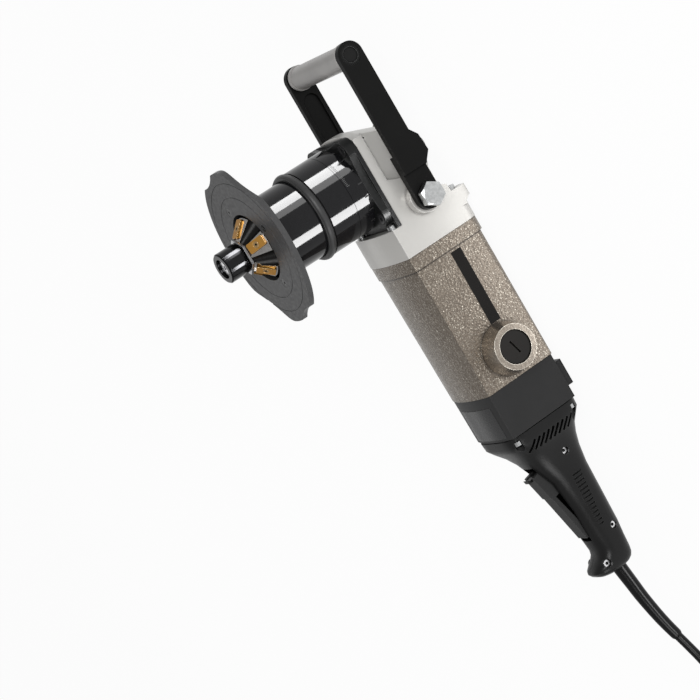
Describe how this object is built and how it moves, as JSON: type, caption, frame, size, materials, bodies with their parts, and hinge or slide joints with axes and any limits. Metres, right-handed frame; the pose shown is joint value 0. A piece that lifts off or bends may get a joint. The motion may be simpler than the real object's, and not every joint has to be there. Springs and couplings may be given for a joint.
{
  "type": "portable bevelling machine",
  "caption": "Hand-held bevelling machine with a conical milling head in a scalloped guide plate, a bow handle, a motor housing and a rear trigger handle on a mains cord.",
  "frame": {"origin": "on the spindle axis at the flat pad on the back of the gear head, which lies on the surface", "axes": "+Z along the spindle out of the cutter, +X forward to the bow handle, -X back to the rear handle and the cord"},
  "size_m": [0.9672, 0.1957, 0.2352],
  "materials": {
    "silver_paint": "satin paint",
    "hammer_paint": "hammered paint",
    "black_steel": "blackened and polished",
    "plate_steel": "satin blackened",
    "tool_steel": "ground",
    "zinc_steel": "zinc plated",
    "coated_carbide": "coated",
    "cast_arm": "matte powder coat",
    "grip_plastic": "satin",
    "charcoal_plastic": "fine grain",
    "black_plastic": "smooth",
    "cap_plastic": "moulded",
    "brass": "plain",
    "carbon": "pressed carbon",
    "copper": "enamelled copper",
    "lamination": "stacked sheet",
    "cord_rubber": "smooth"
  },
  "bodies": {
    "housing": {"gear_housing": "silver_paint", "head_screws": "zinc_steel", "bearing_flange": "black_steel", "flange_screws": "tool_steel", "spindle_bearings": "tool_steel", "scale_ring": "black_steel", "guide_tube": "tool_steel", "bow_bolts": "zinc_steel", "bow_washers": "zinc_steel", "motor_housing": "hammer_paint", "stator_core": "lamination", "field_coils": "copper", "armature_bearings": "tool_steel", "brush_holders": "brass", "carbon_brushes": "carbon", "brush_caps": "cap_plastic", "end_cap": "charcoal_plastic", "cap_screws": "zinc_steel", "handle_shell_near": "charcoal_plastic", "handle_shell_far": "charcoal_plastic", "handle_screws": "zinc_steel", "switch_module": "black_plastic", "trigger_pin": "tool_steel", "cord_clamp": "black_plastic", "cord_sleeve": "cord_rubber", "cord_lead": "cord_rubber", "cord_coil": "cord_rubber", "cord_tie": "black_plastic", "cord_tail": "cord_rubber", "mains_plug": "black_plastic"},
    "spindle": {"spindle_shaft": "tool_steel", "crown_gear": "tool_steel", "cutter_head": "tool_steel", "cutting_inserts": "coated_carbide", "insert_screws": "tool_steel", "pilot_collar": "tool_steel", "pilot_screw": "tool_steel"},
    "roller": {"guide_roller": "black_steel"},
    "armature": {"armature_shaft": "tool_steel", "armature_core": "lamination", "armature_windings": "copper", "commutator": "copper", "cooling_fan": "black_plastic", "drive_pinion": "tool_steel"},
    "bow": {"bow_arm_near": "cast_arm", "bow_arm_far": "cast_arm", "bow_grip": "grip_plastic", "grip_plugs": "cast_arm"},
    "depth_ring": {"adjusting_barrel": "black_steel", "barrel_rim": "black_steel"},
    "guide": {"guide_sleeve": "black_steel", "guide_plate": "plate_steel", "plate_screws": "tool_steel"},
    "trigger": {"trigger_paddle": "charcoal_plastic"},
    "lock_off": {"lock_off_catch": "black_plastic"}
  },
  "joints": [
    {"name": "armature_spin", "type": "hinge", "parent": "housing", "child": "armature", "pos_m": [-0.15, 0, 0.0485], "axis": [1, 0, 0], "continuous": true},
    {"name": "spindle_spin", "type": "hinge", "parent": "housing", "child": "spindle", "pos_m": [0, 0, 0.0485], "axis": [0, 0, 1], "continuous": true},
    {"name": "roller_spin", "type": "hinge", "parent": "spindle", "child": "roller", "pos_m": [0, 0, 0.2142], "axis": [0, 0, 1], "continuous": true},
    {"name": "bow_tilt", "type": "hinge", "parent": "housing", "child": "bow", "pos_m": [-0.038, 0, 0.0485], "axis": [0, -1, 0], "range_deg": [-10, 45]},
    {"name": "depth_ring_turn", "type": "hinge", "parent": "housing", "child": "depth_ring", "pos_m": [0, 0, 0.1089], "axis": [0, 0, 1], "range_deg": [-270, 1080]},
    {"name": "guide_plate_feed", "type": "slide", "parent": "housing", "child": "guide", "axis": [0, 0, 1], "range_m": [-0.003, 0.012]},
    {"name": "trigger_press", "type": "hinge", "parent": "housing", "child": "trigger", "pos_m": [-0.4, 0, 0.054], "axis": [0, 1, 0], "range_deg": [0, 7], "stiffness_Nm_per_rad": 0.6, "springref_deg": -5.73},
    {"name": "lock_off_turn", "type": "hinge", "parent": "trigger", "child": "lock_off", "pos_m": [-0.32483, 0, 0.06848], "axis": [0, 1, 0], "range_deg": [0, 12], "stiffness_Nm_per_rad": 0.02, "springref_deg": -11.46}
  ],
  "couplings": [
    {"joint": "spindle_spin", "follows": "armature_spin", "ratio": -0.32143},
    {"joint": "guide_plate_feed", "follows": "depth_ring_turn", "m_per_rad": 0.0006366}
  ]
}
